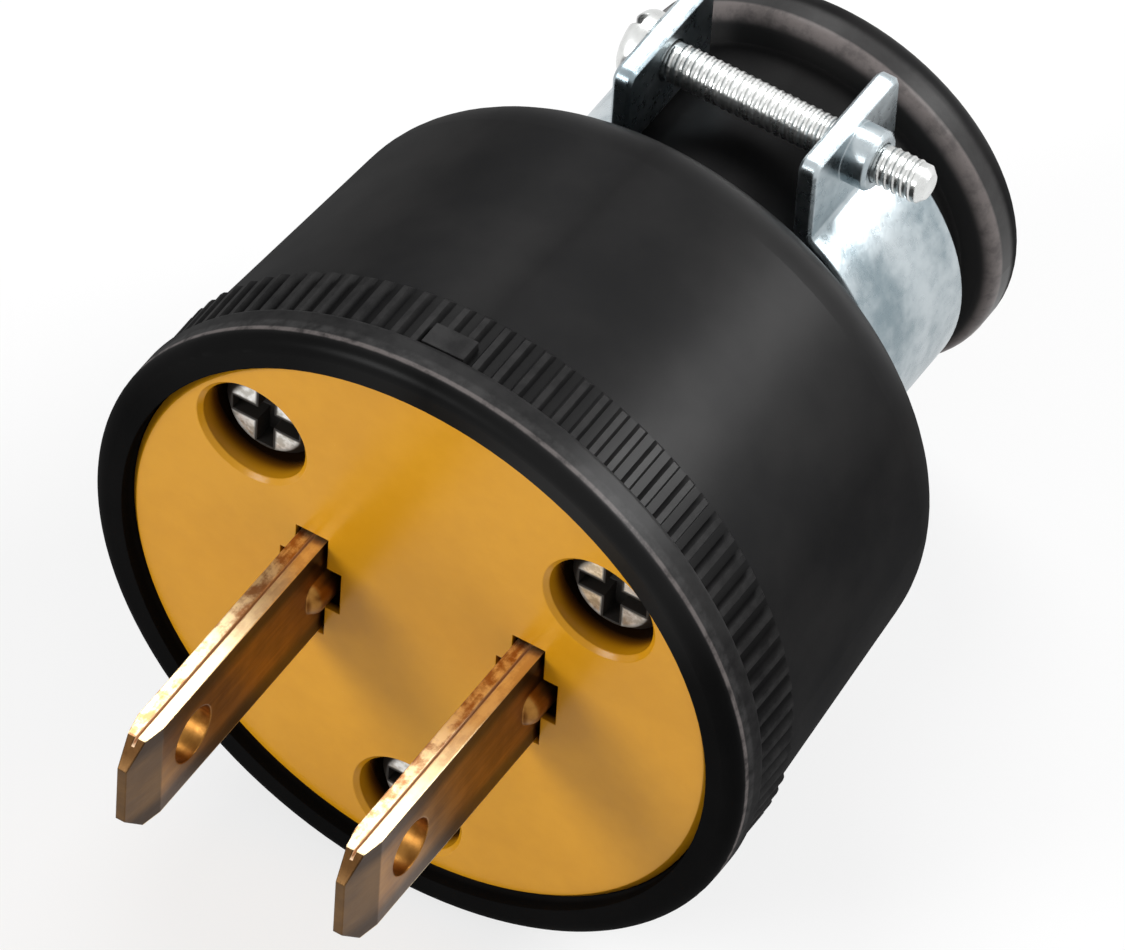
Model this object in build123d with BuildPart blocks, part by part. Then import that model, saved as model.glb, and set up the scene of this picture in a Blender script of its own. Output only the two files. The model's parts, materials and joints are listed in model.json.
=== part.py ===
# Heavy-duty two-blade rubber plug with a steel cord clamp, in millimetres.
# Every piece is modelled in the plug's own frame: origin at the centre of the yellow face, +Z out along the
# blades, +X from the left blade to the right one, +Y up. The finished pieces are then laid down together as
# the plug rests on a table, nose up: on the lip ring in front and on the barrel's round shoulder behind.
from build123d import *
from math import asin, atan2, cos, degrees, hypot, sqrt, tan
import os

# Fits
FIT = 0.05  # radial clearance of screws in threads and of pressed inserts
SLIP = 0.1  # clearance all round a piece that is slid into its seat

# Blades
BLADE_SPACING = 12.7
BLADE_WIDTH = 6.35
BLADE_THICK = 1.52
BLADE_OUT = 17.0  # in front of the face
BLADE_HOLE_R = 1.6
BLADE_HOLE_OUT = 11.7
TIP_BEVEL = 0.5  # off each broad side at the tip
TIP_BEVEL_LENGTH = 2.5
TIP_CORNER = 1.3
SEAM_WIDTH = 0.14  # where the two folded leaves meet
SEAM_DEPTH = 0.3
EMBOSS_OUT = 1.5  # the bulge at the root, in front of the face
EMBOSS_ROUND = 0.6
EMBOSS_HALF_X = 1.5
EMBOSS_HALF_Y = 1.25
TAB_LENGTH = 6.3  # terminal tab, outwards from the blade's middle
BEND_R = 0.7  # inside the tab's bend

# Face plate
SPIGOT_R = 15.0
SPIGOT_LENGTH = 3.5  # behind the front disc
FACE_RIM = 2.05  # the front disc's overhang past the spigot
FACE_EDGE = 0.4
PLATE_FLANGE = 5.0  # thickness of the wide front disc
SLOT_WIDTH = 1.9
SLOT_HEIGHT = 7.1
SLOT_WAIST_WIDTH = 3.6  # the wide middle of a blade's slot
SLOT_WAIST_HEIGHT = 2.9
RECESS_R = 3.0
RECESS_EDGE = 0.25

# Face screws, in their recesses
SCREW_INSET = 1.8  # screw's axis inside the spigot's rim
UPPER_SCREW_ANGLE = 40.0
LOWER_SCREW_ANGLE = 270.0
HEAD_SUNK = 1.3  # head's top below the face
FACE_HEAD_R = 2.6
FACE_HEAD_HEIGHT = 1.6
FACE_HEAD_EDGE = 0.5
SCREW_R = 1.25
SCREW_HOLE_R = 1.4
CROSS_WIDTH = 0.95
CROSS_LENGTH = 3.9
CROSS_DEPTH = 1.2

# Terminal carrier and its inserts
CARRIER_RIM = 1.0  # the carrier's overhang past the spigot
CARRIER_LENGTH = 8.0
CARRIER_EDGE = 0.6
INSERT_R = 2.0
INSERT_LENGTH = 4.5
INSERT_RIM = 0.5  # of the insert's rear collar, past its barrel
INSERT_COLLAR = 0.6
BARRIER_THICK = 1.8
BARRIER_HEIGHT = 3.6

# Terminal screws and wire plates
TERMINAL_OUT = 3.6  # screw's axis, outwards from the blade's middle
TERMINAL_DROP = 4.4  # and below it, clear of the upper inserts
TERMINAL_HEAD_R = 2.4
TERMINAL_HEAD_HEIGHT = 1.6
TERMINAL_LENGTH = 5.0
DRIVER_SLOT = 0.8
DRIVER_SLOT_DEPTH = 0.9
WIRE_PLATE_LENGTH = 5.0
WIRE_PLATE_WIDTH = 6.0
WIRE_PLATE_THICK = 0.8
WIRE_PLATE_CORNER = 0.8

# Rubber body, along the axis from the face backwards
LIP_FRONT = 0.6  # the lip stands this far in front of the face
LIP_REAR = 1.9
LIP_WALL = 1.85
LIP_FRONT_ROUND = 0.9
LIP_REAR_ROUND = 0.3
KNURL_REAR = 5.3
KNURL_WALL = 1.3  # under the knurl's ridges
KNURL_HEIGHT = 0.35
KNURL_COUNT = 100
KNURL_WIDTH = 0.84  # of one ridge at its foot
KNURL_CREST = 0.34
KNURL_END = 0.3  # slope at a ridge's rear end
KNURL_SUNK = 0.15  # a ridge's foot below the root
PAD_ANGLE = 92.0  # the smooth index pad in the knurl
PAD_WIDTH = 2.4
PAD_LENGTH = 1.4
PAD_HEIGHT = 0.5
LEDGE = 2.0  # inner rubber ledge that the plate and the carrier grip
WIRE_SPACE = 4.7  # cavity behind the carrier
CAVITY_EDGE = 1.6
BARREL_WALL = 1.1  # beside the carrier, where the barrel is thinnest
REAR_WALL = 3.2
SHOULDER_ROUND = 4.0
CORD_BORE_R = 5.0
BORE_EDGE = 0.6
NECK_WALL = 4.5
NECK_ROOT_EDGE = 0.8
FLANGE_THICK = 3.2
FLANGE_RISE = 1.9  # past the neck
FLANGE_FRONT_ROUND = 0.9
FLANGE_REAR_ROUND = 1.2

# Cord clamp: two saddles round the neck, with ears above and below
CLAMP_GAP = 3.4  # behind the barrel
CLAMP_WIDTH = 8.2
CLAMP_THICK = 1.1
FLANGE_GAP = 1.7  # between the clamp and the flange
EAR_INNER_X = 4.9
EAR_HEIGHT = 3.3  # past the saddle's round
EAR_CORNER = 0.8
EAR_BEND_OUTER = 0.5
EAR_BEND_INNER = 1.6
CLAMP_EDGE = 0.2
CLAMP_SCREW_INSET = 2.1  # screw's axis below an ear's top
CLAMP_SCREW_R = 1.05
CLAMP_SCREW_PLAY = 0.15  # all round, in the ear under the head
CLAMP_HEAD_R = 2.0
CLAMP_HEAD_HEIGHT = 1.3
CLAMP_HEAD_ROUND = 0.8
CLAMP_SLOT_DEPTH = 0.7
CLAMP_SCREW_TAIL = 4.3  # past the far ear's outer face
TAIL_CHAMFER = 0.35
COLLAR_WALL = 0.55  # of the threaded collar drawn out of one ear
COLLAR_OUT = 1.4
COLLAR_RIM = 0.2

# Radii that several pieces share
face_r = SPIGOT_R + FACE_RIM
carrier_r = SPIGOT_R + CARRIER_RIM
face_seat_r = face_r + SLIP
carrier_seat_r = carrier_r + SLIP
lip_r = face_seat_r + LIP_WALL
knurl_root_r = face_seat_r + KNURL_WALL
barrel_rear_r = carrier_seat_r + BARREL_WALL
neck_r = CORD_BORE_R + NECK_WALL
flange_r = neck_r + FLANGE_RISE
saddle_inner_r = neck_r + SLIP
saddle_outer_r = saddle_inner_r + CLAMP_THICK
ear_reach = saddle_outer_r + EAR_HEIGHT
clamp_screw_height = ear_reach - CLAMP_SCREW_INSET
insert_collar_r = INSERT_R + INSERT_RIM

# Heights along the axis that several pieces share
ledge_front = -PLATE_FLANGE
ledge_rear = ledge_front - LEDGE
spigot_rear = ledge_front - SPIGOT_LENGTH
carrier_rear = ledge_rear - CARRIER_LENGTH
tab_rear = carrier_rear - BLADE_THICK
wire_plate_rear = tab_rear - WIRE_PLATE_THICK
cavity_floor = carrier_rear - WIRE_SPACE
head_seat = -HEAD_SUNK - FACE_HEAD_HEIGHT
barrel_rear = cavity_floor - REAR_WALL
clamp_front = barrel_rear - CLAMP_GAP
clamp_rear = clamp_front - CLAMP_WIDTH
clamp_middle = (clamp_front + clamp_rear) / 2
flange_front = clamp_rear - FLANGE_GAP
flange_rear = flange_front - FLANGE_THICK
ear_outer_x = EAR_INNER_X + CLAMP_THICK
blade_x = BLADE_SPACING / 2
terminal_x = blade_x + TERMINAL_OUT

terminal_spot = (terminal_x, -TERMINAL_DROP)
screw_circle_r = SPIGOT_R - SCREW_INSET
screw_arm = Vector(screw_circle_r, 0, 0)
screw_spots = {
    "upper_left": Location(screw_arm.rotate(Axis.Z, 180 - UPPER_SCREW_ANGLE)),
    "upper_right": Location(screw_arm.rotate(Axis.Z, UPPER_SCREW_ANGLE)),
    "lower": Location(screw_arm.rotate(Axis.Z, LOWER_SCREW_ANGLE)),
}


def half_section(corners):
    """Closed half-section of a turned piece, from (radius, height) corners.

    A corner that is not sharp also names its operation, fillet or chamfer, and that operation's size.
    """
    with BuildSketch(Plane.XZ, mode=Mode.PRIVATE) as section:
        with BuildLine():
            Polyline([corner[:2] for corner in corners], close=True)
        make_face()
        for radius, height, *finish in corners:
            if finish:
                operation, size = finish
                operation(section.vertices().sort_by_distance((radius, height))[0], size)
    return section.sketch


# Rubber body: turned section, then the knurled band with its index pad
with BuildPart() as knurl_ridge:
    with BuildSketch(Plane.XY.offset(-KNURL_REAR)):
        with BuildLine():
            Polyline(
                (knurl_root_r - KNURL_SUNK, -KNURL_WIDTH / 2),
                (knurl_root_r + KNURL_HEIGHT, -KNURL_CREST / 2),
                (knurl_root_r + KNURL_HEIGHT, KNURL_CREST / 2),
                (knurl_root_r - KNURL_SUNK, KNURL_WIDTH / 2),
                close=True,
            )
        make_face()
    extrude(amount=KNURL_REAR - LIP_REAR)
    chamfer(knurl_ridge.faces().sort_by(Axis.X)[-1].edges().sort_by(Axis.Z)[0], KNURL_END)

with BuildPart() as index_pad:
    with BuildSketch(Plane.XY.offset(-LIP_REAR)):
        with Locations((knurl_root_r - KNURL_SUNK, 0)):
            Rectangle(KNURL_SUNK + PAD_HEIGHT, PAD_WIDTH, align=(Align.MIN, Align.CENTER))
    extrude(amount=-PAD_LENGTH)

with BuildPart() as rubber_body:
    revolve(
        half_section(
            [
                (face_seat_r, LIP_FRONT),
                (lip_r, LIP_FRONT, fillet, LIP_FRONT_ROUND),
                (lip_r, -LIP_REAR, fillet, LIP_REAR_ROUND),
                (knurl_root_r, -LIP_REAR),
                (knurl_root_r, -KNURL_REAR),
                (barrel_rear_r, barrel_rear, fillet, SHOULDER_ROUND),
                (neck_r, barrel_rear, chamfer, NECK_ROOT_EDGE),
                (neck_r, flange_front),
                (flange_r, flange_front, fillet, FLANGE_FRONT_ROUND),
                (flange_r, flange_rear, fillet, FLANGE_REAR_ROUND),
                (CORD_BORE_R, flange_rear, chamfer, BORE_EDGE),
                (CORD_BORE_R, cavity_floor, chamfer, BORE_EDGE),
                (carrier_seat_r, cavity_floor, chamfer, CAVITY_EDGE),
                (carrier_seat_r, ledge_rear),
                (SPIGOT_R + SLIP, ledge_rear),
                (SPIGOT_R + SLIP, ledge_front),
                (face_seat_r, ledge_front),
            ]
        ),
        axis=Axis.Z,
    )
    with PolarLocations(0, KNURL_COUNT):
        add(knurl_ridge.part)
    with PolarLocations(0, 1, start_angle=PAD_ANGLE):
        add(index_pad.part)

# Face plate: front disc with a spigot, three screw recesses and two stepped blade slots
with BuildPart() as face_plate:
    revolve(
        half_section(
            [
                (0.0, 0.0),
                (face_r, 0.0, chamfer, FACE_EDGE),
                (face_r, ledge_front),
                (SPIGOT_R, ledge_front),
                (SPIGOT_R, spigot_rear),
                (0.0, spigot_rear),
            ]
        ),
        axis=Axis.Z,
    )
    with Locations(*screw_spots.values()):
        CounterBoreHole(SCREW_HOLE_R, RECESS_R, -head_seat)
    with BuildSketch():
        with GridLocations(BLADE_SPACING, 0, 2, 1):
            Rectangle(SLOT_WIDTH, SLOT_HEIGHT)
            Rectangle(SLOT_WAIST_WIDTH, SLOT_WAIST_HEIGHT)
    extrude(amount=spigot_rear, mode=Mode.SUBTRACT)
    face_circles = face_plate.edges().filter_by(GeomType.CIRCLE).group_by(Axis.Z)[-1]
    chamfer(face_circles.filter_by(lambda rim: rim.radius < SPIGOT_R / 2), RECESS_EDGE)

# Terminal carrier: cup-fronted disc, with blade slots, insert seats and a barrier between the terminals
with BuildPart() as terminal_carrier:
    revolve(
        half_section(
            [
                (0.0, spigot_rear),
                (SPIGOT_R + SLIP, spigot_rear),
                (SPIGOT_R + SLIP, ledge_rear),
                (carrier_r, ledge_rear),
                (carrier_r, carrier_rear, chamfer, CARRIER_EDGE),
                (0.0, carrier_rear),
            ]
        ),
        axis=Axis.Z,
    )
    barrier_reach = screw_circle_r - insert_collar_r - SLIP
    with BuildSketch(Plane.XY.offset(carrier_rear)):
        Rectangle(BARRIER_THICK, 2 * barrier_reach)
    extrude(amount=-BARRIER_HEIGHT)
    with Locations((0, 0, spigot_rear)):
        with Locations(*screw_spots.values()):
            Hole(SCREW_HOLE_R, depth=CARRIER_LENGTH)
    with BuildSketch(Plane.XY.offset(carrier_rear)):
        with Locations(*screw_spots.values()):
            Circle(INSERT_R + FIT)
    extrude(amount=INSERT_LENGTH, mode=Mode.SUBTRACT)
    with BuildSketch(Plane.XY.offset(carrier_rear)):
        with GridLocations(BLADE_SPACING, 0, 2, 1):
            Rectangle(BLADE_THICK + 2 * SLIP, BLADE_WIDTH + 2 * SLIP)
    extrude(amount=CARRIER_LENGTH, mode=Mode.SUBTRACT)
    with BuildSketch(Plane.XY.offset(carrier_rear)):
        relief_width = BLADE_THICK + 2 * BEND_R + 2 * SLIP
        with GridLocations(BLADE_SPACING, 0, 2, 1):
            Rectangle(relief_width, BLADE_WIDTH + 2 * SLIP)
    extrude(amount=BEND_R, mode=Mode.SUBTRACT)
    with BuildSketch(Plane.XY.offset(carrier_rear)):
        with Locations((0, -TERMINAL_DROP)):
            with GridLocations(2 * terminal_x, 0, 2, 1):
                Circle(SCREW_HOLE_R)
    extrude(amount=TERMINAL_LENGTH, mode=Mode.SUBTRACT)

# Blades: a strip folded double, bent outwards at the back into a terminal tab with its screw's pad below
with BuildPart() as blade_right:
    strip_inner = blade_x - BLADE_THICK / 2
    strip_outer = blade_x + BLADE_THICK / 2
    with BuildSketch(Plane.XZ) as strip:
        with BuildLine():
            Polyline(
                (strip_inner, BLADE_OUT),
                (strip_outer, BLADE_OUT),
                (strip_outer, carrier_rear),
                (blade_x + TAB_LENGTH, carrier_rear),
                (blade_x + TAB_LENGTH, tab_rear),
                (strip_inner, tab_rear),
                close=True,
            )
        make_face()
        fillet(strip.vertices().sort_by_distance((strip_outer, carrier_rear))[0], BEND_R)
        fillet(strip.vertices().sort_by_distance((strip_inner, tab_rear))[0], BEND_R + BLADE_THICK)
    extrude(amount=BLADE_WIDTH / 2, both=True)
    chamfer(blade_right.edges().filter_by(Axis.X).group_by(Axis.Z)[-1], TIP_CORNER)
    tip = blade_right.faces().sort_by(Axis.Z)[-1]
    chamfer(tip.edges().filter_by(Axis.Y), TIP_BEVEL, TIP_BEVEL_LENGTH, reference=tip)
    with BuildSketch(Plane.XY.offset(carrier_rear)):
        with Locations((blade_x, BLADE_WIDTH / 2)):
            Rectangle(SEAM_WIDTH, 2 * SEAM_DEPTH)
    extrude(amount=BLADE_OUT - carrier_rear, mode=Mode.SUBTRACT)
    with BuildSketch(Plane.XY.offset(spigot_rear)):
        with Locations((blade_x, 0)):
            Ellipse(EMBOSS_HALF_X, EMBOSS_HALF_Y)
    extrude(amount=EMBOSS_OUT - spigot_rear)
    fillet(blade_right.edges().filter_by(GeomType.ELLIPSE).group_by(Axis.Z)[-1], EMBOSS_ROUND)
    with Locations(Plane((strip_outer, 0, BLADE_HOLE_OUT), z_dir=(1, 0, 0))):
        Hole(BLADE_HOLE_R, depth=BLADE_THICK)
    with BuildSketch(Plane.XY.offset(tab_rear)):
        with Locations(terminal_spot):
            RectangleRounded(WIRE_PLATE_LENGTH, WIRE_PLATE_WIDTH, WIRE_PLATE_CORNER)
    extrude(amount=BLADE_THICK)
    with BuildSketch(Plane.XY.offset(tab_rear)):
        with Locations(terminal_spot):
            Circle(SCREW_R + FIT)
    extrude(amount=BLADE_THICK, mode=Mode.SUBTRACT)

with BuildPart() as blade_left:
    mirror(blade_right.part, about=Plane.YZ)

# Terminal screws and the pressure plates under their heads
with BuildPart() as wire_plate_right:
    with BuildSketch(Plane.XY.offset(wire_plate_rear)):
        with Locations(terminal_spot):
            RectangleRounded(WIRE_PLATE_LENGTH, WIRE_PLATE_WIDTH, WIRE_PLATE_CORNER)
            Circle(SCREW_R + FIT, mode=Mode.SUBTRACT)
    extrude(amount=WIRE_PLATE_THICK)

with BuildPart() as terminal_screw_right:
    with BuildSketch(Plane.XY.offset(wire_plate_rear)):
        with Locations(terminal_spot):
            Circle(TERMINAL_HEAD_R)
            Rectangle(2 * TERMINAL_HEAD_R, DRIVER_SLOT, mode=Mode.SUBTRACT)
    extrude(amount=-TERMINAL_HEAD_HEIGHT)
    with BuildSketch(Plane.XY.offset(wire_plate_rear)):
        with Locations(terminal_spot):
            Circle(TERMINAL_HEAD_R)
    extrude(amount=DRIVER_SLOT_DEPTH - TERMINAL_HEAD_HEIGHT)
    with BuildSketch(Plane.XY.offset(wire_plate_rear)):
        with Locations(terminal_spot):
            Circle(SCREW_R)
    extrude(amount=TERMINAL_LENGTH)

with BuildPart() as wire_plate_left:
    mirror(wire_plate_right.part, about=Plane.YZ)

with BuildPart() as terminal_screw_left:
    mirror(terminal_screw_right.part, about=Plane.YZ)

# Face screws and the collared inserts that they pull on, at the axis first and then at their three places
with BuildPart() as face_screw:
    revolve(
        half_section(
            [
                (0.0, -HEAD_SUNK),
                (FACE_HEAD_R, -HEAD_SUNK, chamfer, FACE_HEAD_EDGE),
                (FACE_HEAD_R, head_seat),
                (SCREW_R, head_seat),
                (SCREW_R, carrier_rear),
                (0.0, carrier_rear),
            ]
        ),
        axis=Axis.Z,
    )
    with BuildSketch(Plane.XY.offset(-HEAD_SUNK)):
        Rectangle(CROSS_LENGTH, CROSS_WIDTH)
        Rectangle(CROSS_WIDTH, CROSS_LENGTH)
    extrude(amount=-CROSS_DEPTH, mode=Mode.SUBTRACT)

with BuildPart() as carrier_insert:
    revolve(
        half_section(
            [
                (SCREW_R + FIT, carrier_rear + INSERT_LENGTH),
                (INSERT_R, carrier_rear + INSERT_LENGTH),
                (INSERT_R, carrier_rear),
                (insert_collar_r, carrier_rear),
                (insert_collar_r, carrier_rear - INSERT_COLLAR),
                (SCREW_R + FIT, carrier_rear - INSERT_COLLAR),
            ]
        ),
        axis=Axis.Z,
    )

# Cord clamp: half-round saddles with upright ears, each bent from one strip; one ear has a threaded collar
with BuildPart() as clamp_half_right:
    ear_foot_inner = sqrt(saddle_inner_r**2 - EAR_INNER_X**2)
    ear_foot_outer = sqrt(saddle_outer_r**2 - ear_outer_x**2)
    with BuildSketch(Plane.XY.offset(clamp_rear)) as strap:
        Circle(saddle_outer_r)
        Circle(saddle_inner_r, mode=Mode.SUBTRACT)
        with Locations((EAR_INNER_X, 0)):
            Rectangle(
                2 * saddle_outer_r, 2 * saddle_outer_r, align=(Align.MIN, Align.CENTER), mode=Mode.INTERSECT
            )
        for up in (1, -1):
            with Locations((EAR_INNER_X + CLAMP_THICK / 2, up * (ear_reach + ear_foot_inner) / 2)):
                Rectangle(CLAMP_THICK, ear_reach - ear_foot_inner)
        for up in (1, -1):
            inner_corner = strap.vertices().sort_by_distance((EAR_INNER_X, up * ear_foot_inner))[0]
            fillet(inner_corner, EAR_BEND_INNER)
            outer_corner = strap.vertices().sort_by_distance((ear_outer_x, up * ear_foot_outer))[0]
            fillet(outer_corner, EAR_BEND_OUTER)
    extrude(amount=CLAMP_WIDTH)
    fillet(clamp_half_right.edges().filter_by(Axis.X), EAR_CORNER)
    strip_edges = clamp_half_right.faces().filter_by(Axis.Z).edges()
    chamfer(strip_edges - strip_edges.filter_by(Axis.X), CLAMP_EDGE)
    collar_seat = Plane((ear_outer_x, clamp_screw_height, clamp_middle), z_dir=(1, 0, 0))
    with BuildSketch(collar_seat):
        Circle(CLAMP_SCREW_R + FIT + COLLAR_WALL)
    extrude(amount=COLLAR_OUT)
    chamfer(clamp_half_right.faces(Select.LAST).sort_by(Axis.X)[-1].edges(), COLLAR_RIM)
    with Locations(collar_seat.offset(COLLAR_OUT)):
        Hole(CLAMP_SCREW_R + FIT, depth=COLLAR_OUT + CLAMP_THICK)
    with Locations(Plane((ear_outer_x, -clamp_screw_height, clamp_middle), z_dir=(1, 0, 0))):
        Hole(CLAMP_SCREW_R + CLAMP_SCREW_PLAY, depth=CLAMP_THICK)

with BuildPart() as clamp_half_left:
    with PolarLocations(0, 1, start_angle=180):
        add(clamp_half_right.part)

# Clamp screws, run across the ears: the upper one threads into the right half, the lower one into the left
with BuildPart() as clamp_screw_upper:
    across = Plane((-ear_outer_x, clamp_screw_height, clamp_middle), x_dir=(0, 0, 1), z_dir=(1, 0, 0))
    with BuildSketch(across):
        Circle(CLAMP_HEAD_R)
    extrude(amount=-CLAMP_HEAD_HEIGHT)
    fillet(clamp_screw_upper.edges().group_by(Axis.X)[0], CLAMP_HEAD_ROUND)
    with BuildSketch(across.offset(-CLAMP_HEAD_HEIGHT)):
        Rectangle(DRIVER_SLOT, 2 * CLAMP_HEAD_R)
    extrude(amount=CLAMP_SLOT_DEPTH, mode=Mode.SUBTRACT)
    with BuildSketch(across):
        Circle(CLAMP_SCREW_R)
    extrude(amount=2 * ear_outer_x + CLAMP_SCREW_TAIL)
    chamfer(clamp_screw_upper.edges().group_by(Axis.X)[-1], TAIL_CHAMFER)

with BuildPart() as clamp_screw_lower:
    with PolarLocations(0, 1, start_angle=180):
        add(clamp_screw_upper.part)

pieces = {
    "rubber_body": rubber_body,
    "face_plate": face_plate,
    "terminal_carrier": terminal_carrier,
    "blade_left": blade_left,
    "blade_right": blade_right,
    "wire_plate_left": wire_plate_left,
    "wire_plate_right": wire_plate_right,
    "terminal_screw_left": terminal_screw_left,
    "terminal_screw_right": terminal_screw_right,
    "clamp_half_left": clamp_half_left,
    "clamp_half_right": clamp_half_right,
    "clamp_screw_upper": clamp_screw_upper,
    "clamp_screw_lower": clamp_screw_lower,
}
for spot, place in screw_spots.items():
    for kind, model in (("face_screw", face_screw), ("carrier_insert", carrier_insert)):
        with BuildPart() as placed:
            with Locations(place):
                add(model.part)
        pieces[f"{kind}_{spot}"] = placed

# Resting pose: the table touches the lip's rounded rear edge and the barrel's round shoulder
barrel_taper = atan2(knurl_root_r - barrel_rear_r, -KNURL_REAR - barrel_rear)
shoulder_axis_r = barrel_rear_r + SHOULDER_ROUND * (tan(barrel_taper) - 1 / cos(barrel_taper))
contact_rise = lip_r - LIP_REAR_ROUND - shoulder_axis_r
round_step = SHOULDER_ROUND - LIP_REAR_ROUND
contact_run = -barrel_rear - SHOULDER_ROUND - LIP_REAR + LIP_REAR_ROUND
nose_up = atan2(contact_rise, contact_run) - asin(round_step / hypot(contact_run, contact_rise))
laid = Rot(90 - degrees(nose_up), 0, 0)
laid_box = Compound([laid * piece.part for piece in pieces.values()]).bounding_box()
resting = Pos(0, -laid_box.center().Y, -laid_box.min.Z) * laid

os.makedirs("parts", exist_ok=True)
for label, piece in pieces.items():
    piece.part.locate(resting)
    piece.part.label = label
    export_step(piece.part, f"parts/{label}.step")
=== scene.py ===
"""Looks of a heavy-duty two-blade rubber plug: its finishes, screw threads, light and camera."""
import functools
import json
import logging
import math
from dataclasses import dataclass, replace
from enum import Enum
from typing import Any, Optional, Union

import bmesh
import bpy
from mathutils import Matrix, Vector


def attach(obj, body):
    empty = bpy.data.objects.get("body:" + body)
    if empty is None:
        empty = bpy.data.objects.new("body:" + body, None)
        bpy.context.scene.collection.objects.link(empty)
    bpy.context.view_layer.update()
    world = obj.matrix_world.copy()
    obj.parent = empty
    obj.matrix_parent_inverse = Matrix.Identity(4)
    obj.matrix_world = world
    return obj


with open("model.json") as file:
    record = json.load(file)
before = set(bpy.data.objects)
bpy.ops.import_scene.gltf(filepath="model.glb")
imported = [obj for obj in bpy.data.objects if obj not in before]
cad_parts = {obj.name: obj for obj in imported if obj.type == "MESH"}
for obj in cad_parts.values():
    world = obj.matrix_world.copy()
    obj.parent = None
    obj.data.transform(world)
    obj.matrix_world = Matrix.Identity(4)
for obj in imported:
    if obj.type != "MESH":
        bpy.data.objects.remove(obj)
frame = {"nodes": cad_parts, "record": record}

LOG = logging.getLogger("plug")
MM = 0.001
EDGE_SAMPLES = 6
Colour = tuple[float, float, float]
Span = tuple[float, float]
Band = tuple[float, float, float]
Value = Union["Term", int, float]
Shade = Union["Term", Colour]


class Grain(Enum):
    """Which way a finish's pattern is drawn out, in the plug's own axes."""

    EVEN = (1.0, 1.0, 1.0)
    ALONG_BLADES = (1.0, 1.0, 0.10)
    ROUND_THE_NECK = (0.45, 0.45, 1.0)


@dataclass(frozen=True)
class Pattern:
    """A cloudy pattern: its lumps in a millimetre, finer layers, their strength and its grain."""

    per_mm: float
    detail: float
    rough: float
    grain: Grain = Grain.EVEN


@dataclass(frozen=True)
class PlugSizes:
    """The plug's landmarks in its own millimetres, from the face's centre."""

    face_radius: float = 17.05
    lip_radius: float = 19.0
    lip_rear: float = -1.9
    knurl_crest: float = 18.8
    knurl_rear: float = -5.3
    flange_radius: float = 11.4
    flange_front: float = -36.2
    blade_spacing: float = 12.7
    blade_width: float = 6.35
    blade_tip: float = 17.0
    tip_bevel: float = 2.5
    slot_half_width: float = 1.8
    slot_half_height: float = 3.55
    screw_circle: float = 13.2
    screw_angles: tuple[float, ...] = (40.0, 140.0, 270.0)
    head_sunk: float = 1.3
    recess_radius: float = 3.0
    recess_margin: float = 0.5
    ear_inner: float = 4.9
    collar_end: float = 7.4
    tail_end: float = 10.3
    clamp_screw_radius: float = 1.05
    clamp_screw_height: float = 11.9
    clamp_middle: float = -30.4


@dataclass(frozen=True)
class PlugFrame:
    """The plug's own axes as it rests: x across the blades, y up, z out along the blades."""

    origin: Vector
    forward: Vector
    sizes: PlugSizes = PlugSizes()

    @classmethod
    def from_record(cls, record: dict[str, Any]) -> "PlugFrame":
        """Read the face's centre and the blades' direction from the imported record.

        Args:
            record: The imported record, with a mount named blades.

        Returns:
            The plug's own frame.
        """
        mount = next(m for m in record["mounts"] if m["name"] == "blades")
        return cls(Vector(mount["pos_m"]), Vector(mount["axis"]).normalized())

    def matrix(self) -> Matrix:
        """Work out where the plug's own axes lie.

        Returns:
            The map from plug millimetres to the scene's metres.
        """
        across = Vector((1.0, 0.0, 0.0))
        up = self.forward.cross(across)
        turn = Matrix((across, up, self.forward)).transposed().to_4x4()
        return Matrix.Translation(self.origin) @ turn @ Matrix.Scale(MM, 4)


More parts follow.
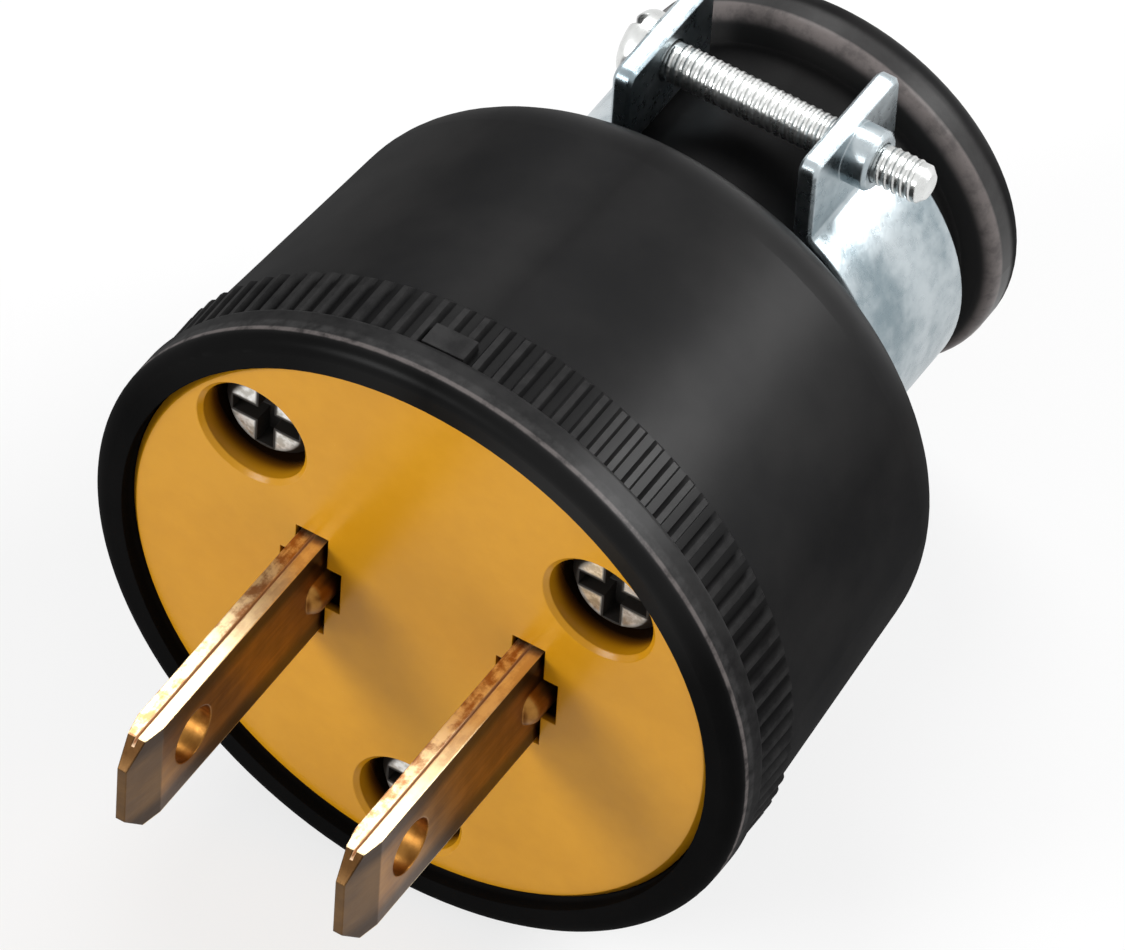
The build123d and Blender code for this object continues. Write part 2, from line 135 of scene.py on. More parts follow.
class Term:
    """An output of a shader node that takes part in Python arithmetic."""

    def __init__(self, tree: "NodeTree", node: bpy.types.Node, output: Union[str, int] = 0) -> None:
        """Hold one output of a node.

        Args:
            tree: The tree that new nodes join.
            node: The node.
            output: Which of its outputs is meant.
        """
        self.tree = tree
        self.node = node
        self.output = output

    @property
    def socket(self) -> bpy.types.NodeSocket:
        """Return the output's socket."""
        return self.node.outputs[self.output]

    def out(self, output: Union[str, int]) -> "Term":
        """Return another output of the same node."""
        return Term(self.tree, self.node, output)

    def _maths(self, operation: str, *values: Value) -> "Term":
        """Add one Math node and return its result."""
        return self.tree.node("ShaderNodeMath", {"operation": operation}, dict(enumerate(values)))

    def __add__(self, other: Value) -> "Term":
        """Return the sum."""
        return self._maths("ADD", self, other)

    __radd__ = __add__

    def __sub__(self, other: Value) -> "Term":
        """Return the difference."""
        return self._maths("SUBTRACT", self, other)

    def __rsub__(self, other: Value) -> "Term":
        """Return the reflected difference."""
        return self._maths("SUBTRACT", other, self)

    def __mul__(self, other: Value) -> "Term":
        """Return the product."""
        return self._maths("MULTIPLY", self, other)

    __rmul__ = __mul__

    def __pow__(self, other: Value) -> "Term":
        """Return the power."""
        return self._maths("POWER", self, other)

    def __abs__(self) -> "Term":
        """Return the size without its sign."""
        return self._maths("ABSOLUTE", self)

    def least(self, other: Value) -> "Term":
        """Return the smaller of two values."""
        return self._maths("MINIMUM", self, other)

    def most(self, other: Value) -> "Term":
        """Return the larger of two values."""
        return self._maths("MAXIMUM", self, other)

    def rise(self, low: float, high: float) -> "Term":
        """Return a smooth step.

        Args:
            low: Where the step is 0.
            high: Where the step is 1, above or below low.

        Returns:
            The step, from 0 to 1.
        """
        if low > high:
            return 1 - self.rise(high, low)
        settings = {"interpolation_type": "SMOOTHSTEP", "clamp": True}
        values = {"Value": self, "From Min": low, "From Max": high}
        return self.tree.node("ShaderNodeMapRange", settings, values)

    def rise_near(self, level: float, span: Span) -> "Term":
        """Return a smooth step over a span that is measured from a level."""
        return self.rise(level + span[0], level + span[1])

    def between(self, low: float, high: float) -> "Term":
        """Return low where this is 0 and high where it is 1."""
        return low + (high - low) * self

    def blend(self, other: "Term", share: float) -> "Term":
        """Return this with a share of another in it."""
        return self * (1 - share) + other * share

    def band(self, low: float, high: float, soft: float) -> "Term":
        """Return a soft-edged band that is 1 between low and high."""
        return self.rise(low - soft, low) * self.rise(high + soft, high)


class NodeTree:
    """A shader node tree that is written as expressions."""

    def __init__(self, tree: bpy.types.NodeTree) -> None:
        """Take over a tree and empty it."""
        self.tree = tree
        self.tree.nodes.clear()

    def node(
        self,
        kind: str,
        settings: Optional[dict[str, Any]] = None,
        values: Optional[dict[Union[str, int], Any]] = None,
    ) -> Term:
        """Add a node.

        Args:
            kind: The node's type name.
            settings: Its properties, set first.
            values: Its sockets' values or links.

        Returns:
            The node's first output.
        """
        new = self.tree.nodes.new(kind)
        for key, value in (settings or {}).items():
            setattr(new, key, value)
        for key, value in (values or {}).items():
            self._feed(new.inputs[key], value)
        return Term(self, new)

    def _feed(self, socket: bpy.types.NodeSocket, value: Any) -> None:
        """Link a term to a socket, or set the socket's own value.

        Args:
            socket: The socket that is fed.
            value: A term, a number, a colour or a vector.
        """
        if isinstance(value, Term):
            self.tree.links.new(value.socket, socket)
        elif socket.type == "RGBA":
            socket.default_value = (*value, 1.0)
        else:
            socket.default_value = value

    def seen(self) -> Term:
        """Tell the rays that show the surround from those that only light the plug.

        Returns:
            1 for rays that go to the eye, a mirror or through glass, and 0 for others.
        """
        path = self.node("ShaderNodeLightPath")
        eye, mirror, glass = (path.out(f"Is {ray} Ray") for ray in ("Camera", "Glossy", "Transmission"))
        return eye.most(mirror).most(glass)


class Finish(NodeTree):
    """One node material, with the plug's own millimetre coordinates at hand."""

    def __init__(self, name: str, plug: PlugFrame) -> None:
        """Start an empty material.

        Args:
            name: The material's name.
            plug: The frame that patterns are placed in.
        """
        self.material = bpy.data.materials.new(name)
        self.material.use_nodes = True
        super().__init__(self.material.node_tree)
        turn = plug.matrix().to_euler()
        self.place = self.node(
            "ShaderNodeMapping",
            {"vector_type": "TEXTURE"},
            {
                "Vector": self.node("ShaderNodeTexCoord").out("Object"),
                "Location": tuple(plug.origin),
                "Rotation": tuple(turn),
                "Scale": (MM, MM, MM),
            },
        )

    def close(self, **values: Any) -> bpy.types.Material:
        """Add the shader and the output.

        Args:
            values: The shader's sockets, named with underscores, and what they are fed.

        Returns:
            The finished material.
        """
        sockets = {key.replace("_", " "): value for key, value in values.items()}
        shader = self.node("ShaderNodeBsdfPrincipled", values=sockets)
        self.node("ShaderNodeOutputMaterial", values={"Surface": shader})
        return self.material

    def axes(self) -> tuple[Term, Term, Term]:
        """Return the plug's x, y and z in millimetres."""
        split = self.node("ShaderNodeSeparateXYZ", values={0: self.place})
        return split.out(0), split.out(1), split.out(2)

    def noise(self, pattern: Pattern) -> Term:
        """Return a cloudy pattern around 0.5.

        Args:
            pattern: Its scale, layers and grain.

        Returns:
            The pattern, about 0 to 1.
        """
        factors = {0: self.place, 1: pattern.grain.value}
        values = {
            "Vector": self.node("ShaderNodeVectorMath", {"operation": "MULTIPLY"}, factors),
            "Scale": pattern.per_mm,
            "Detail": pattern.detail,
            "Roughness": pattern.rough,
        }
        return self.node("ShaderNodeTexNoise", values=values)

    def mix(self, amount: Value, low: Shade, high: Shade) -> Term:
        """Return a mix of two colours."""
        settings = {"data_type": "RGBA", "clamp_factor": True}
        return self.node("ShaderNodeMix", settings, {0: amount, 6: low, 7: high}).out(2)

    def relief(self, height_mm: Term, strength: float, edge_mm: float) -> Term:
        """Return a normal for a relief.

        Args:
            height_mm: The relief's height in millimetres.
            strength: How much of it is felt.
            edge_mm: Radius that sharp edges are softened by.

        Returns:
            The normal.
        """
        edge = self.node("ShaderNodeBevel", {"samples": EDGE_SAMPLES}, {"Radius": edge_mm * MM})
        values = {"Strength": strength, "Distance": MM, "Height": height_mm, "Normal": edge}
        return self.node("ShaderNodeBump", values=values)

    def from_screws(self, x: Term, y: Term, sizes: PlugSizes) -> tuple[Term, Term]:
        """Measure how far a point is from the face screws.

        Args:
            x: The plug's x.
            y: The plug's y.
            sizes: Where the screws are.

        Returns:
            The distance to the nearest screw's axis, and to the nearest arm of any screw's driver cross.
        """
        distances, arms = [], []
        for angle in sizes.screw_angles:
            across = x - sizes.screw_circle * math.cos(math.radians(angle))
            above = y - sizes.screw_circle * math.sin(math.radians(angle))
            distance = (across * across + above * above) ** 0.5
            beyond = distance.rise_near(sizes.recess_radius, (0.0, sizes.recess_margin))
            distances.append(distance)
            arms.append(abs(across).least(abs(above)) + beyond * sizes.screw_circle)
        return functools.reduce(Term.least, distances), functools.reduce(Term.least, arms)


@dataclass(frozen=True)
class MouldedRubber:
    """Charcoal rubber with a satin moulded skin, rubbed on its crests, with painted highlights broken up
    like scuffs along its lip and flange edges, a flange painted lighter, and painted shade in its
    grooves and on the lip's front.

    The sheen is on the barrel's upper flanks, more on the right than on the left.
    """

    name: str = "body_rubber"
    deep: Colour = (0.0098, 0.0098, 0.0102)
    worn: Colour = (0.0156, 0.0152, 0.0152)
    rubbed_and_highlight: Colour = (0.044, 0.043, 0.043)
    scuffed_highlight: Colour = (0.150, 0.132, 0.128)
    shaded: Colour = (0.002, 0.002, 0.002)
    # The patterns, and which levels of them count
    cloud: Pattern = Pattern(0.13, 4.0, 0.55)
    skin: Pattern = Pattern(1.2, 5.0, 0.62)
    grain: Pattern = Pattern(7.0, 3.0, 0.6)
    worn_cloud: Span = (0.3, 0.75)
    rub_and_highlight_skin: Span = (0.25, 0.7)
    highlight_scuff_skin: Span = (0.3, 0.6)
    # Places in millimetres: spans from the knurl's crest or an outer radius, bands along the plug
    knurl_soft: float = 0.1
    crest_span: Span = (-0.25, -0.02)
    groove_span: Span = (-0.15, -0.33)
    lip_span: Span = (-0.5, 0.0)
    lip_front: float = -0.2
    lip_soft: float = 0.4
    lip_front_span: Span = (-0.4, 0.1)
    lip_highlight_span: Span = (-0.3, -0.05)
    lip_highlight_band: Band = (-0.8, -0.4, 0.25)
    lip_line_span: Span = (-0.3, -0.1)
    lip_line_band: Band = (-0.36, -0.22, 0.12)
    flange_depth: float = 1.6
    flange_soft: float = 0.5
    rim_span: Span = (-0.5, 0.0)
    flange_edge_span: Span = (-0.8, -0.3)
    flange_edge_band: Band = (-0.8, -0.1, 0.2)
    # How strongly each place is rubbed, scuffed, painted lighter, given a painted highlight or given
    # painted shade
    flange_scuff_highlight: Span = (0.55, 1.0)
    lip_scuff_highlight: Span = (0.15, 0.75)
    flange_light_share: float = 0.6
    crest_share: float = 0.35
    lip_share: float = 0.25
    lip_highlight_share: float = 0.55
    rim_highlight_share: float = 0.7
    groove_shade: float = 0.35
    lip_shade: float = 0.75
    # The polished upper flanks
    handled_angle: float = 60.0
    handled_from: float = 0.80
    handled_rise: float = 4.0
    left_share: float = 0.14
    left_span: Span = (-8.0, 0.0)
    base_sheen: float = 0.07
    cloud_sheen: Span = (0.7, 1.2)
    # How rough it is, and the heights of its relief in millimetres
    roughness: float = 0.36
    skin_roughness: float = 0.16
    groove_roughness: float = 0.08
    coat_ior: float = 1.22
    coat_roughness: float = 0.34
    skin_height: float = 0.022
    grain_height: float = 0.016
    felt: float = 0.6
    edge_round: float = 0.12

    def material(self, plug: PlugFrame) -> bpy.types.Material:
        """Make the rubber's material.

        Args:
            plug: The frame that its patterns are placed in.

        Returns:
            The material.
        """
        finish = Finish(self.name, plug)
        sizes = plug.sizes
        x, y, z = finish.axes()
        radius = (x * x + y * y) ** 0.5
        cloud = finish.noise(self.cloud)
        skin = finish.noise(self.skin)
        grain = finish.noise(self.grain)
        knurled = z.band(sizes.knurl_rear, sizes.lip_rear, self.knurl_soft)
        crest = radius.rise_near(sizes.knurl_crest, self.crest_span) * knurled
        groove = radius.rise_near(sizes.knurl_crest, self.groove_span) * knurled
        lip = radius.rise_near(sizes.lip_radius, self.lip_span)
        lip = lip * z.band(sizes.lip_rear, self.lip_front, self.lip_soft)
        lip_front = z.rise(*self.lip_front_span)
        lip_highlight = radius.rise_near(sizes.lip_radius, self.lip_highlight_span) * z.band(*self.lip_highlight_band)
        lip_highlight_line = radius.rise_near(sizes.lip_radius, self.lip_line_span) * z.band(*self.lip_line_band)
        # The flange's front and rim are painted lighter, as if more light fell on them.
        painted_flange = z.band(sizes.flange_front - self.flange_depth, sizes.flange_front, self.flange_soft)
        rim = radius.rise_near(sizes.flange_radius, self.rim_span) * painted_flange
        # Crests and the lip's outer ring are rubbed; the lip's front edge and the flange's rim get a
        # painted highlight in the same colour.
        rub_and_highlight = crest * self.crest_share + lip * self.lip_share
        rub_and_highlight = rub_and_highlight + lip_highlight * self.lip_highlight_share + rim * self.rim_highlight_share
        body = finish.mix(cloud.rise(*self.worn_cloud), self.deep, self.worn)
        body = finish.mix(painted_flange * self.flange_light_share, body, self.rubbed_and_highlight)
        body = finish.mix(rub_and_highlight * skin.rise(*self.rub_and_highlight_skin), body, self.rubbed_and_highlight)
        # Pale lines on the flange's front edge and the lip's front edge are painted highlights, broken
        # up like scuffs.
        broken = skin.rise(*self.highlight_scuff_skin)
        scuff_highlight = self._flange_edge(radius, z, sizes) * broken.between(*self.flange_scuff_highlight)
        scuff_highlight = scuff_highlight.most(lip_highlight_line * broken.between(*self.lip_scuff_highlight))
        body = finish.mix(scuff_highlight, body, self.scuffed_highlight)
        shade = (groove * self.groove_shade).most(lip_front * self.lip_shade) * (1 - lip_highlight_line)
        sheen = self._handled(x, y, radius).most(rim).between(self.base_sheen, 1.0)
        height = skin * self.skin_height + grain * self.grain_height
        return finish.close(
            Base_Color=finish.mix(shade, body, self.shaded),
            Roughness=self.roughness + self.skin_roughness * skin + self.groove_roughness * groove,
            Coat_Weight=sheen * cloud.between(*self.cloud_sheen),
            Normal=finish.relief(height, self.felt, self.edge_round),
            Specular_IOR_Level=0.0,
            Coat_IOR=self.coat_ior,
            Coat_Roughness=self.coat_roughness,
        )

    def _flange_edge(self, radius: Term, z: Term, sizes: PlugSizes) -> Term:
        """Return 1 on the rounded edge between the flange's front and its rim.

        Args:
            radius: The distance from the plug's axis.
            z: The place along the plug.
            sizes: Where the flange is.

        Returns:
            The mask.
        """
        low, high, soft = self.flange_edge_band
        along = z.band(sizes.flange_front + low, sizes.flange_front + high, soft)
        return radius.rise_near(sizes.flange_radius, self.flange_edge_span) * along

    def _handled(self, x: Term, y: Term, radius: Term) -> Term:
        """Return how far hands have polished the upper flanks.

        Args:
            x: The plug's x.
            y: The plug's y.
            radius: The distance from the plug's axis.

        Returns:
            The mask, weaker on the left.
        """
        angle = math.radians(self.handled_angle)
        facing = abs(x) * math.cos(angle) + y * math.sin(angle)
        flanks = (facing - self.handled_from * radius).rise(0.0, self.handled_rise)
        return flanks * x.rise(*self.left_span).between(self.left_share, 1.0)


@dataclass(frozen=True)
class SatinFacePlastic:
    """Ochre moulded plastic with faint flow marks, and painted shade in its corners, slots and recesses.
    """

    name: str = "face_plastic"
    ochre: Colour = (0.610, 0.272, 0.0040)
    light: Colour = (0.685, 0.318, 0.0095)
    shade_brown: Colour = (0.200, 0.066, 0.0030)
    dark: Colour = (0.012, 0.005, 0.0015)
    # The patterns, and which levels of them count
    flow: Pattern = Pattern(0.07, 2.0, 0.5)
    mottle: Pattern = Pattern(0.8, 4.0, 0.6)
    grain: Pattern = Pattern(9.0, 2.0, 0.5)
    mottle_share: float = 0.25
    light_tone: Span = (0.36, 0.66)
    shade_mottle: Span = (0.2, 0.6)
    # Places in millimetres: spans from the rim, a wall or a screw's head, depths along the plug
    corner_span: Span = (-0.7, 0.0)
    corner_share: float = 0.3
    inside_span: Span = (0.3, 0.1)
    wall_top: float = -0.4
    wall_share: float = 0.9
    floor_span: Span = (0.5, -0.4)
    slot_depth: Span = (-0.05, -0.5)
    # How shiny it is, and the heights of its relief in millimetres
    specular: float = 0.27
    roughness: float = 0.20
    mottle_roughness: float = 0.10
    mottle_height: float = 0.014
    grain_height: float = 0.006
    felt: float = 0.6
    edge_round: float = 0.10

    def material(self, plug: PlugFrame) -> bpy.types.Material:
        """Make the face plate's material.

        Args:
            plug: The frame that its patterns are placed in.

        Returns:
            The material.
        """
        finish = Finish(self.name, plug)
        sizes = plug.sizes
        x, y, z = finish.axes()
        radius = (x * x + y * y) ** 0.5
        flow = finish.noise(self.flow)
        mottle = finish.noise(self.mottle)
        grain = finish.noise(self.grain)
        tone = flow.blend(mottle, self.mottle_share).rise(*self.light_tone)
        unshaded = finish.mix(tone, self.ochre, self.light)
        # Painted shade: the corner at the rim is darkened in patches, and the recesses' walls darker
        # further in.
        corner_shade = radius.rise_near(sizes.face_radius, self.corner_span) * self.corner_share
        corner_shade = corner_shade * mottle.rise(*self.shade_mottle)
        distance, _ = finish.from_screws(x, y, sizes)
        well = distance.rise_near(sizes.recess_radius, self.inside_span)
        wall_shade = well * z.rise(self.wall_top, -sizes.head_sunk) * self.wall_share
        # Painted shade: the recesses' floors and the slots are painted near black.
        floor = well * z.rise_near(-sizes.head_sunk, self.floor_span)
        from_blade = abs(abs(x) - sizes.blade_spacing / 2)
        in_width = from_blade.rise_near(sizes.slot_half_width, self.inside_span)
        in_height = abs(y).rise_near(sizes.slot_half_height, self.inside_span)
        slot = in_width * in_height * z.rise(*self.slot_depth)
        shaded_plastic = finish.mix(corner_shade.most(wall_shade), unshaded, self.shade_brown)
        height = mottle * self.mottle_height + grain * self.grain_height
        return finish.close(
            Base_Color=finish.mix(slot.most(floor), shaded_plastic, self.dark),
            Roughness=self.roughness + self.mottle_roughness * mottle,
            Normal=finish.relief(height, self.felt, self.edge_round),
            Specular_IOR_Level=self.specular,
        )


@dataclass(frozen=True)
class TarnishedBrass:
    """Folded brass strip: browned flats with darker borders, and edges that are rubbed bright."""

    name: str = "blade_brass"
    brown: Colour = (0.165, 0.066, 0.011)
    copper: Colour = (0.365, 0.172, 0.040)
    border: Colour = (0.024, 0.010, 0.003)
    peach: Colour = (0.940, 0.750, 0.455)
    blotch: Colour = (0.420, 0.200, 0.085)
    tip: Colour = (0.085, 0.052, 0.026)
    seam_light: Colour = (0.780, 0.500, 0.280)
    # The patterns, and which levels of them count
    cloud: Pattern = Pattern(0.35, 3.0, 0.5)
    drawn: Pattern = Pattern(2.2, 3.0, 0.55, Grain.ALONG_BLADES)
    stain: Pattern = Pattern(1.5, 4.0, 0.6)
    drawn_share: float = 0.4
    copper_tone: Span = (0.32, 0.70)
    peach_tone: Span = (0.40, 0.58)
    # Places in millimetres: spans from the strip's edge, its bevel or its middle
    border_span: Span = (-1.7, -0.6)
    border_cloud: Span = (0.65, 1.0)
    bevel_span: Span = (-0.1, 0.1)
    bevel_share: float = 0.75
    side_span: Span = (-0.01, 0.01)
    leaf_span: Span = (-0.12, 0.12)
    leaf_drawn: Span = (0.45, 0.95)
    folded_span: Span = (-0.06, -0.01)
    seam_half: float = 0.075
    seam_span: Span = (0.01, 0.0)
    seam_wall_span: Span = (-0.4, -0.35)
    # How rough it is, and the heights of its relief in millimetres
    roughness: float = 0.27
    stain_roughness: float = 0.12
    drawn_roughness: float = 0.05
    drawn_height: float = 0.010
    stain_height: float = 0.010
    felt: float = 0.7
    edge_round: float = 0.12

    def material(self, plug: PlugFrame) -> bpy.types.Material:
        """Make the blades' material.

        Args:
            plug: The frame that its patterns are placed in.

        Returns:
            The material.
        """
        finish = Finish(self.name, plug)
        sizes = plug.sizes
        x, y, z = finish.axes()
        half_width = sizes.blade_width / 2
        cloud = finish.noise(self.cloud)
        drawn = finish.noise(self.drawn)
        stain = finish.noise(self.stain)
        tone = cloud.blend(drawn, self.drawn_share).rise(*self.copper_tone)
        flats = finish.mix(tone, self.brown, self.copper)
        bevel = z.rise_near(sizes.blade_tip - sizes.tip_bevel, self.bevel_span)
        flats = finish.mix(bevel * self.bevel_share, flats, self.tip)
        border = abs(y).rise_near(half_width, self.border_span) * cloud.between(*self.border_cloud)
        flats = finish.mix(border, flats, self.border)
        side = 2 * x.rise(*self.side_span) - 1
        off_middle = x - side * (sizes.blade_spacing / 2)
        leaf = off_middle.rise(*self.leaf_span)
        blotches = stain.blend(drawn, self.drawn_share).rise(*self.peach_tone)
        edge = finish.mix(blotches, self.blotch, self.peach)
        edge = finish.mix(leaf * drawn.between(*self.leaf_drawn), edge, self.peach)
        folded = abs(y).rise_near(half_width, self.folded_span)
        # The seam's inside is painted light and not metal, so it shows mid-brown where its own shade
        # would make it black.
        seam_light = abs(off_middle).rise_near(self.seam_half, self.seam_span)
        seam_light = seam_light * abs(y).rise_near(half_width, self.seam_wall_span)
        height = drawn * self.drawn_height + stain * self.stain_height
        return finish.close(
            Base_Color=finish.mix(seam_light, finish.mix(folded, flats, edge), self.seam_light),
            Metallic=1 - seam_light,
            Roughness=self.roughness + self.stain_roughness * stain + self.drawn_roughness * drawn,
            Normal=finish.relief(height, self.felt, self.edge_round),
        )


@dataclass(frozen=True)
class BrightZinc:
    """Bluish zinc plate with paler rubbed patches and a faint tumbled skin."""

    name: str
    dull: Colour = (0.230, 0.290, 0.320)
    pale: Colour = (0.520, 0.575, 0.600)
    grain: Grain = Grain.EVEN
    cloud: Pattern = Pattern(0.22, 3.0, 0.5)
    tumble: Pattern = Pattern(1.3, 3.0, 0.55)
    scratch: Pattern = Pattern(5.0, 2.0, 0.6)
    tumble_share: float = 0.25
    pale_tone: Span = (0.36, 0.66)
    roughness: float = 0.20
    tumble_roughness: float = 0.12
    scratch_roughness: float = 0.05
    cloud_height: float = 0.20
    tumble_height: float = 0.022
    scratch_height: float = 0.004
    felt: float = 0.8
    edge_round: float = 0.14

    def material(self, plug: PlugFrame) -> bpy.types.Material:
        """Make the zinc's material.

        Args:
            plug: The frame that its patterns are placed in.

        Returns:
            The material.
        """
        finish = Finish(self.name, plug)
        cloud = finish.noise(replace(self.cloud, grain=self.grain))
        tumble = finish.noise(self.tumble)
        scratch = finish.noise(replace(self.scratch, grain=self.grain))
        tone = cloud.blend(tumble, self.tumble_share).rise(*self.pale_tone)
        height = cloud * self.cloud_height + tumble * self.tumble_height + scratch * self.scratch_height
        return finish.close(
            Base_Color=finish.mix(tone, self.dull, self.pale),
            Metallic=1.0,
            Roughness=self.roughness + self.tumble_roughness * tumble + self.scratch_roughness * scratch,
            Normal=finish.relief(height, self.felt, self.edge_round),
        )


@dataclass(frozen=True)
class SunkZinc:
    """The face screws' zinc, with painted shade in the driver's cross, round the head and below its top.
    """

    name: str = "face_screw_zinc"
    bright: Colour = (0.900, 0.895, 0.870)
    greyed: Colour = (0.520, 0.500, 0.450)
    recess_shade: Colour = (0.012, 0.010, 0.008)
    stain: Pattern = Pattern(1.6, 4.0, 0.6)
    bright_stain: Span = (0.38, 0.62)
    head_radius: float = 2.6
    rim_span: Span = (-0.8, -0.4)
    cross_half: float = 0.475
    cross_span: Span = (0.25, 0.08)
    sunk_span: Span = (-0.08, -0.3)
    shade_cover: float = 0.8
    roughness: float = 0.24
    stain_roughness: float = 0.14
    shade_roughness: float = 0.3
    stain_height: float = 0.02
    felt: float = 0.7
    edge_round: float = 0.08

    def material(self, plug: PlugFrame) -> bpy.types.Material:
        """Make the face screws' material.

        Args:
            plug: The frame that its patterns are placed in.

        Returns:
            The material.
        """
        finish = Finish(self.name, plug)
        sizes = plug.sizes
        x, y, z = finish.axes()
        stain = finish.noise(self.stain)
        zinc = finish.mix(stain.rise(*self.bright_stain), self.greyed, self.bright)
        distance, arm = finish.from_screws(x, y, sizes)
        # Painted shade: the head's rim, its driver cross and what lies below its top are darkened.
        rim = distance.rise_near(self.head_radius, self.rim_span)
        beside = arm.rise_near(self.cross_half, self.cross_span)
        head_shade = z.rise_near(-sizes.head_sunk, self.sunk_span).most(rim).most(beside)
        return finish.close(
            Base_Color=finish.mix(head_shade, zinc, self.recess_shade),
            Metallic=1 - self.shade_cover * head_shade,
            Roughness=self.roughness + self.stain_roughness * stain + self.shade_roughness * head_shade,
            Normal=finish.relief(stain * self.stain_height, self.felt, self.edge_round),
        )


@dataclass(frozen=True)
class InnerFinish:
    """A plain inner piece's finish: a mottled base, metal or not."""

    name: str
    base: Colour
    marked: Colour
    metallic: float
    roughness: float
    cloud: Pattern = Pattern(0.6, 4.0, 0.6)
    fine: Pattern = Pattern(4.0, 3.0, 0.6)
    marked_cloud: Span = (0.3, 0.7)
    fine_roughness: float = 0.15
    fine_height: float = 0.02
    felt: float = 0.6
    edge_round: float = 0.06

    def material(self, plug: PlugFrame) -> bpy.types.Material:
        """Make the inner piece's material.

        Args:
            plug: The frame that its patterns are placed in.

        Returns:
            The material.
        """
        finish = Finish(self.name, plug)
        cloud = finish.noise(self.cloud)
        fine = finish.noise(self.fine)
        return finish.close(
            Base_Color=finish.mix(cloud.rise(*self.marked_cloud), self.base, self.marked),
            Metallic=self.metallic,
            Roughness=self.roughness + self.fine_roughness * fine,
            Normal=finish.relief(fine * self.fine_height, self.felt, self.edge_round),
        )


@dataclass
class ScrewThreads:
    """Helical threads on the bare runs of the two clamp screws, in plug millimetres."""

    plug: PlugFrame
    pitch: float = 0.45
    foot_share: float = 0.84
    sunk: float = 0.01
    height: float = 0.065
    end_gap: float = 0.05
    tail_bare: float = 0.4
    steps_a_turn: int = 24
    weld: float = 1e-5

    def build(self, finish: bpy.types.Material) -> list[bpy.types.Object]:
        """Build each run of thread, above and below the neck.

        Args:
            finish: The screws' zinc.

        Returns:
            The new pieces.
        """
        sizes = self.plug.sizes
        shank_end = sizes.ear_inner - self.end_gap
        runs = {
            "shank": (-shank_end, shank_end),
            "tail": (sizes.collar_end + self.end_gap, sizes.tail_end - self.tail_bare),
        }
        pieces = []
        for place, turn in (("upper", 0.0), ("lower", math.pi)):
            for run, (start, end) in runs.items():
                piece = self._ridge(f"thread_{place}_{run}", start, end, turn)
                piece.data.materials.append(finish)
                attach(piece, "root")
                pieces.append(piece)
        return pieces

    def _ridge(self, name: str, start: float, end: float, turn: float) -> bpy.types.Object:
        """Wind one helical ridge round the screw's line.

        Args:
            name: The piece's name.
            start: Where the thread begins, across the plug.
            end: Where it ends.
            turn: How far the whole screw is turned about the plug's axis.

        Returns:
            The piece.
        """
        sizes = self.plug.sizes
        middle = (0.0, sizes.clamp_screw_height, sizes.clamp_middle)
        foot = self.pitch * self.foot_share
        root = sizes.clamp_screw_radius - self.sunk
        crest = root + self.sunk + self.height
        corners = ((start, root), (start + foot / 2, crest), (start + foot, root))
        shape = bmesh.new()
        profile = shape.faces.new([shape.verts.new((x, middle[1] + r, middle[2])) for x, r in corners])
        travel = end - start - foot
        steps = round(travel / self.pitch * self.steps_a_turn)
        bmesh.ops.spin(
            shape,
            geom=[profile, *profile.edges, *profile.verts],
            cent=middle,
            axis=(1.0, 0.0, 0.0),
            dvec=(travel / steps, 0.0, 0.0),
            angle=travel / self.pitch * 2 * math.pi,
            steps=steps,
            use_duplicate=False,
        )
        bmesh.ops.remove_doubles(shape, verts=shape.verts, dist=self.weld)
        bmesh.ops.recalc_face_normals(shape, faces=shape.faces)
        bmesh.ops.rotate(shape, verts=shape.verts, cent=(0, 0, 0), matrix=Matrix.Rotation(turn, 3, "Z"))
        bmesh.ops.transform(shape, matrix=self.plug.matrix(), verts=shape.verts)
        mesh = bpy.data.meshes.new(name)
        shape.to_mesh(mesh)
        shape.free()
        piece = bpy.data.objects.new(name, mesh)
        bpy.context.scene.collection.objects.link(piece)
        return piece


@dataclass
class Plug:
    """The plug's carried-over solids and their finishes."""

    plug: PlugFrame
    nodes: dict[str, bpy.types.Object]
    record: dict[str, Any]

    def finishes(self) -> dict[str, bpy.types.Material]:
        """Make a material for every slot.

        Returns:
            The materials by slot.
        """
        finishes = (
            MouldedRubber(),
            SatinFacePlastic(),
            TarnishedBrass(),
            BrightZinc("clamp_zinc", grain=Grain.ROUND_THE_NECK),
            BrightZinc("screw_zinc", dull=(0.560, 0.570, 0.560), pale=(0.820, 0.830, 0.820)),
            SunkZinc(),
            InnerFinish("carrier_plastic", (0.05, 0.045, 0.04), (0.075, 0.068, 0.06), 0.0, 0.45),
            InnerFinish("terminal_brass", (0.70, 0.50, 0.24), (0.55, 0.37, 0.16), 1.0, 0.28),
            InnerFinish("terminal_steel", (0.62, 0.63, 0.64), (0.48, 0.49, 0.50), 1.0, 0.3),
        )
        return {finish.name: finish.material(self.plug) for finish in finishes}

    def dress(self) -> dict[str, bpy.types.Material]:
        """Give every solid its slot's finish.

        Returns:
            The materials by slot.
        """
        finishes = self.finishes()
        for part in self.record["subparts"]:
            mesh = self.nodes[part["node"]].data
            mesh.materials.clear()
            mesh.materials.append(finishes[part["material_slot"]])
            LOG.info("%s in %s", part["node"], part["material_slot"])
        return finishes


@dataclass(frozen=True)
class SoftLamp:
    """One soft studio lamp, aimed at the plug."""

    name: str
    place: tuple[float, float, float]
    size: float
    watts: float

    def build(self, aim: Vector) -> None:
        """Make the lamp and aim it.

        Args:
            aim: What it points at.
        """
        data = bpy.data.lights.new(self.name, "AREA")
        data.shape = "DISK"
        data.size = self.size
        data.energy = self.watts
        lamp = bpy.data.objects.new(self.name, data)
        lamp.location = self.place
        lamp.rotation_euler = (aim - Vector(self.place)).to_track_quat("-Z", "Y").to_euler()
        bpy.context.scene.collection.objects.link(lamp)


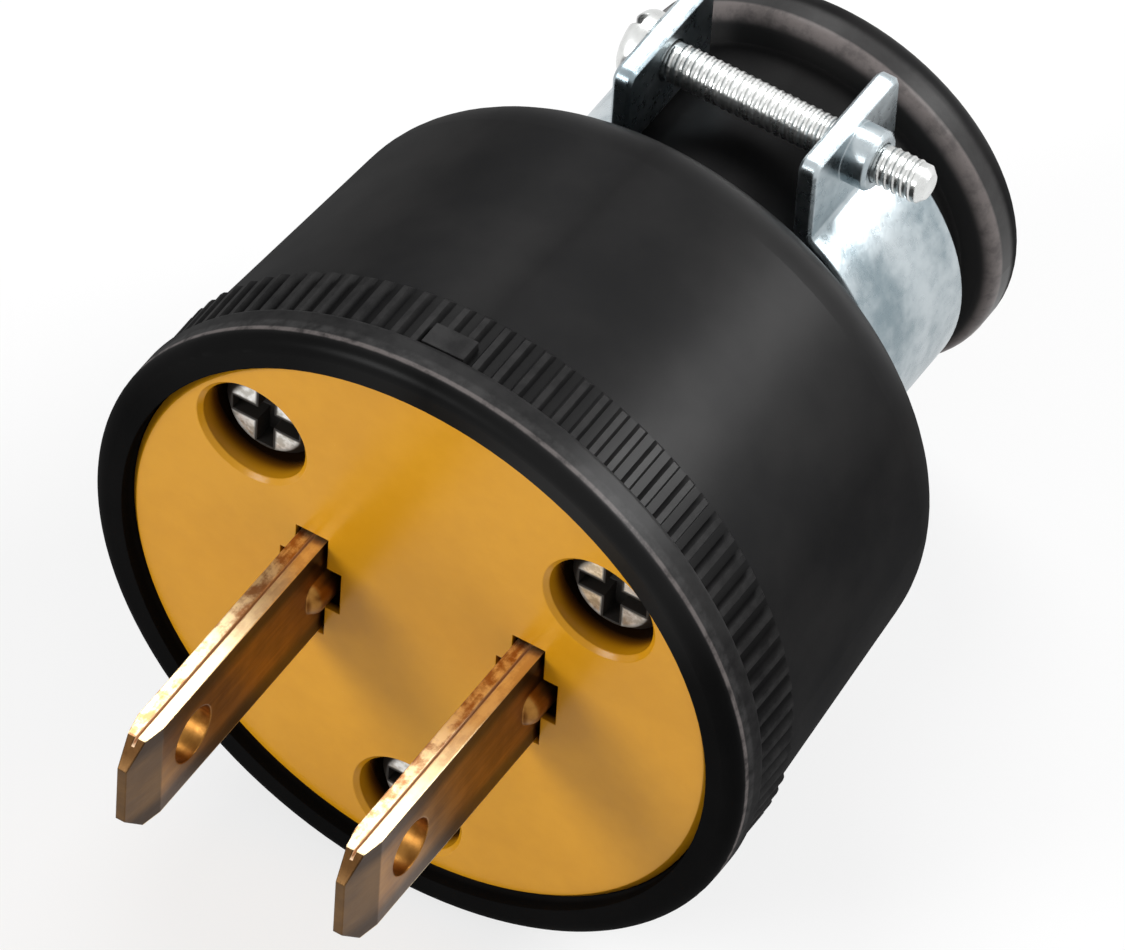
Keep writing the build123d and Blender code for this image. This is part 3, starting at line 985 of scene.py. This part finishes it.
@dataclass
class Studio:
    """A pale floor, soft light and the photograph's camera.

    Lengths are in metres, and the target's offset is in pixels of a frame that is 1125 wide.
    """

    azimuth: float = 32.4
    elevation: float = 52.8
    distance: float = 0.730
    pixels_a_metre: float = 20050.0
    frame_width: float = 1125.0
    sensor_width: float = 36.0
    clip_end: float = 20.0
    target: tuple[float, float, float] = (0.0, 0.0, 0.019)
    target_offset: tuple[float, float] = (-20.0, -5.0)
    world_level: float = 0.36
    floor_colour: Colour = (0.86, 0.86, 0.86)
    floor_size: float = 3.0
    floor_glow: float = 0.72
    lamps: tuple[SoftLamp, ...] = (
        SoftLamp("lamp_front_left", (-0.24, -0.36, 0.24), 0.22, 1.22),
        SoftLamp("lamp_back_left", (-0.20, 0.30, 0.46), 0.26, 1.1),
        SoftLamp("lamp_back_right", (0.36, 0.32, 0.38), 0.30, 2.9),
    )

    def build(self) -> None:
        """Make the floor, the light and the camera."""
        bpy.context.scene.view_settings.view_transform = "Standard"
        self._world()
        self._floor()
        for lamp in self.lamps:
            lamp.build(Vector(self.target))
        self._camera()

    def _world(self) -> None:
        """Make an even white surround."""
        world = bpy.data.worlds.new("white_surround")
        bpy.context.scene.world = world
        world.use_nodes = True
        surround = NodeTree(world.node_tree)
        level = surround.seen() * (1 - self.world_level) + self.world_level
        white = {"Color": (1.0, 1.0, 1.0), "Strength": level}
        glow = surround.node("ShaderNodeBackground", values=white)
        surround.node("ShaderNodeOutputWorld", values={"Surface": glow})

    def _floor(self) -> None:
        """Lay a wide pale floor that takes the plug's shadow."""
        shape = bmesh.new()
        bmesh.ops.create_grid(shape, x_segments=1, y_segments=1, size=self.floor_size)
        mesh = bpy.data.meshes.new("floor")
        shape.to_mesh(mesh)
        shape.free()
        floor = bpy.data.objects.new("floor", mesh)
        bpy.context.scene.collection.objects.link(floor)
        material = bpy.data.materials.new("pale_floor")
        material.use_nodes = True
        paper = NodeTree(material.node_tree)
        matt = paper.node("ShaderNodeBsdfDiffuse", values={"Color": self.floor_colour})
        white = paper.node("ShaderNodeEmission", values={"Strength": 1.0})
        layers = {0: paper.seen() * self.floor_glow, 1: matt, 2: white}
        mixed = paper.node("ShaderNodeMixShader", values=layers)
        paper.node("ShaderNodeOutputMaterial", values={"Surface": mixed})
        mesh.materials.append(material)

    def _camera(self) -> None:
        """Put a long lens at the photograph's viewing angle."""
        a, e = math.radians(self.azimuth), math.radians(self.elevation)
        back = Vector((math.sin(a) * math.cos(e), -math.cos(a) * math.cos(e), math.sin(e)))
        right = Vector((math.cos(a), math.sin(a), 0.0))
        up = back.cross(right)
        across, above = (offset / self.pixels_a_metre for offset in self.target_offset)
        aim = Vector(self.target) - right * across - up * above
        data = bpy.data.cameras.new("photo_camera")
        data.sensor_fit = "HORIZONTAL"
        data.sensor_width = self.sensor_width
        data.lens = self.sensor_width * self.distance * self.pixels_a_metre / self.frame_width
        data.clip_end = self.clip_end
        camera = bpy.data.objects.new("photo_camera", data)
        turn = Matrix((right, up, back)).transposed().to_4x4()
        camera.matrix_world = Matrix.Translation(aim + back * self.distance) @ turn
        bpy.context.scene.collection.objects.link(camera)
        bpy.context.scene.camera = camera


def main() -> None:
    """Dress the plug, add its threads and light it."""
    logging.basicConfig(level=logging.INFO, format="%(name)s: %(message)s")
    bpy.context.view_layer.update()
    plug = PlugFrame.from_record(frame["record"])
    finishes = Plug(plug, frame["nodes"], frame["record"]).dress()
    for piece in ScrewThreads(plug).build(finishes["screw_zinc"]):
        LOG.info("%s added", piece.name)
    Studio().build()


if __name__ == "__main__":
    main()
